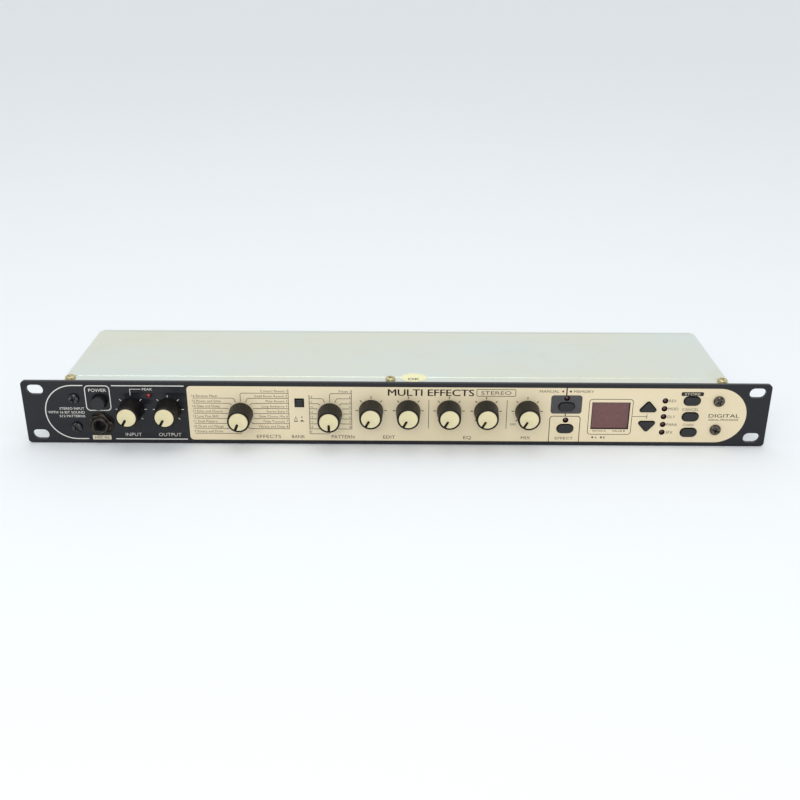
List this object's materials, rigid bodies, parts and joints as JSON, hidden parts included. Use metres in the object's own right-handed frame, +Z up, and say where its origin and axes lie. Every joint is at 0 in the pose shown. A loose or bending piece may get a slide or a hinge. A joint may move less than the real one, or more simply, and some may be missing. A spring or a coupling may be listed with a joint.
{
  "type": "rack effects unit",
  "caption": "One-unit rack audio effects processor with control knobs, selectors, push buttons, a display and jack sockets.",
  "frame": {"origin": "bottom centre of the whole unit's box, knobs and rear jacks included", "axes": "+X to the right of someone facing the front panel, +Y from the front panel to the back, +Z up"},
  "size_m": [0.4826, 0.12, 0.0447],
  "materials": {
    "panel_paint": "satin black with cream and white printing",
    "zinc_plate": "pale yellow-green passivated zinc",
    "zinc_screw": "yellow zinc",
    "dark_screw": "dark bronze",
    "knob_black": "satin",
    "cap_cream": "satin cream",
    "button_grey": "matt",
    "window_smoke": "smoked, clear lacquered",
    "socket_black": "moulded",
    "nut_dark": "dark plated",
    "shaft_metal": "turned",
    "board_green": "solder resist",
    "display_grey": "potted",
    "ribbon_grey": "vinyl"
  },
  "bodies": {
    "unit": {"front_panel": "panel_paint", "chassis_tray": "zinc_plate", "top_cover": "zinc_plate", "panel_screw_1": "dark_screw", "panel_screw_2": "dark_screw", "panel_screw_3": "dark_screw", "panel_screw_4": "dark_screw", "cover_screw_1": "zinc_screw", "cover_screw_2": "zinc_screw", "cover_screw_3": "zinc_screw", "display_window": "window_smoke", "display_module": "display_grey", "front_jack": "socket_black", "front_jack_nut": "nut_dark", "input_left_jack": "socket_black", "input_right_jack": "socket_black", "output_left_jack": "socket_black", "output_right_jack": "socket_black", "footswitch_jack": "socket_black", "data_socket": "socket_black", "power_inlet": "socket_black", "control_board": "board_green", "main_board": "board_green", "ribbon_cable": "ribbon_grey"},
    "input_level": {"input_level_knob": "knob_black", "input_level_cap": "cap_cream", "input_level_shaft": "shaft_metal"},
    "output_level": {"output_level_knob": "knob_black", "output_level_cap": "cap_cream", "output_level_shaft": "shaft_metal"},
    "effect_select": {"effect_select_knob": "knob_black", "effect_select_cap": "cap_cream", "effect_select_shaft": "shaft_metal"},
    "pattern_select": {"pattern_select_knob": "knob_black", "pattern_select_cap": "cap_cream", "pattern_select_shaft": "shaft_metal"},
    "edit_1": {"edit_1_knob": "knob_black", "edit_1_cap": "cap_cream", "edit_1_shaft": "shaft_metal"},
    "edit_2": {"edit_2_knob": "knob_black", "edit_2_cap": "cap_cream", "edit_2_shaft": "shaft_metal"},
    "eq_low": {"eq_low_knob": "knob_black", "eq_low_cap": "cap_cream", "eq_low_shaft": "shaft_metal"},
    "eq_high": {"eq_high_knob": "knob_black", "eq_high_cap": "cap_cream", "eq_high_shaft": "shaft_metal"},
    "mix": {"mix_knob": "knob_black", "mix_cap": "cap_cream", "mix_shaft": "shaft_metal"},
    "store": {"store_button": "button_grey"},
    "cancel": {"cancel_button": "button_grey"},
    "channel": {"channel_button": "button_grey"},
    "memory": {"memory_button": "button_grey"},
    "effect": {"effect_button": "button_grey"},
    "up": {"up_button": "button_grey"},
    "down": {"down_button": "button_grey"},
    "power": {"power_button": "button_grey"},
    "bank": {"bank_button": "button_grey"}
  },
  "joints": [
    {"name": "input_level_turn", "type": "hinge", "parent": "unit", "child": "input_level", "pos_m": [-0.1715, -0.04625, 0.0244], "axis": [0, 1, 0], "range_deg": [0, 300]},
    {"name": "output_level_turn", "type": "hinge", "parent": "unit", "child": "output_level", "pos_m": [-0.14745, -0.04625, 0.0244], "axis": [0, 1, 0], "range_deg": [0, 300]},
    {"name": "effect_select_turn", "type": "hinge", "parent": "unit", "child": "effect_select", "pos_m": [-0.10045, -0.04625, 0.02185], "axis": [0, 1, 0], "continuous": true},
    {"name": "pattern_select_turn", "type": "hinge", "parent": "unit", "child": "pattern_select", "pos_m": [-0.04285, -0.04625, 0.02185], "axis": [0, 1, 0], "continuous": true},
    {"name": "edit_1_turn", "type": "hinge", "parent": "unit", "child": "edit_1", "pos_m": [-0.01615, -0.04625, 0.0244], "axis": [0, 1, 0], "range_deg": [0, 300]},
    {"name": "edit_2_turn", "type": "hinge", "parent": "unit", "child": "edit_2", "pos_m": [0.0079, -0.04625, 0.0244], "axis": [0, 1, 0], "range_deg": [0, 300]},
    {"name": "eq_low_turn", "type": "hinge", "parent": "unit", "child": "eq_low", "pos_m": [0.0343, -0.04625, 0.0244], "axis": [0, 1, 0], "range_deg": [0, 300]},
    {"name": "eq_high_turn", "type": "hinge", "parent": "unit", "child": "eq_high", "pos_m": [0.05835, -0.04625, 0.0244], "axis": [0, 1, 0], "range_deg": [0, 300]},
    {"name": "mix_turn", "type": "hinge", "parent": "unit", "child": "mix", "pos_m": [0.0849, -0.04625, 0.0244], "axis": [0, 1, 0], "range_deg": [0, 300]},
    {"name": "store_press", "type": "slide", "parent": "unit", "child": "store", "axis": [0, 1, 0], "range_m": [0, 0.0005], "stiffness_N_per_m": 1000},
    {"name": "cancel_press", "type": "slide", "parent": "unit", "child": "cancel", "axis": [0, 1, 0], "range_m": [0, 0.0005], "stiffness_N_per_m": 1000},
    {"name": "channel_press", "type": "slide", "parent": "unit", "child": "channel", "axis": [0, 1, 0], "range_m": [0, 0.0005], "stiffness_N_per_m": 1000},
    {"name": "memory_press", "type": "slide", "parent": "unit", "child": "memory", "axis": [0, 1, 0], "range_m": [0, 0.0005], "stiffness_N_per_m": 1000},
    {"name": "effect_press", "type": "slide", "parent": "unit", "child": "effect", "axis": [0, 1, 0], "range_m": [0, 0.0005], "stiffness_N_per_m": 1000},
    {"name": "up_press", "type": "slide", "parent": "unit", "child": "up", "axis": [0, 1, 0], "range_m": [0, 0.0005], "stiffness_N_per_m": 1000},
    {"name": "down_press", "type": "slide", "parent": "unit", "child": "down", "axis": [0, 1, 0], "range_m": [0, 0.0005], "stiffness_N_per_m": 1000},
    {"name": "power_press", "type": "slide", "parent": "unit", "child": "power", "axis": [0, 1, 0], "range_m": [0, 0.003]},
    {"name": "bank_press", "type": "slide", "parent": "unit", "child": "bank", "axis": [0, 1, 0], "range_m": [-0.0025, 0]}
  ]
}
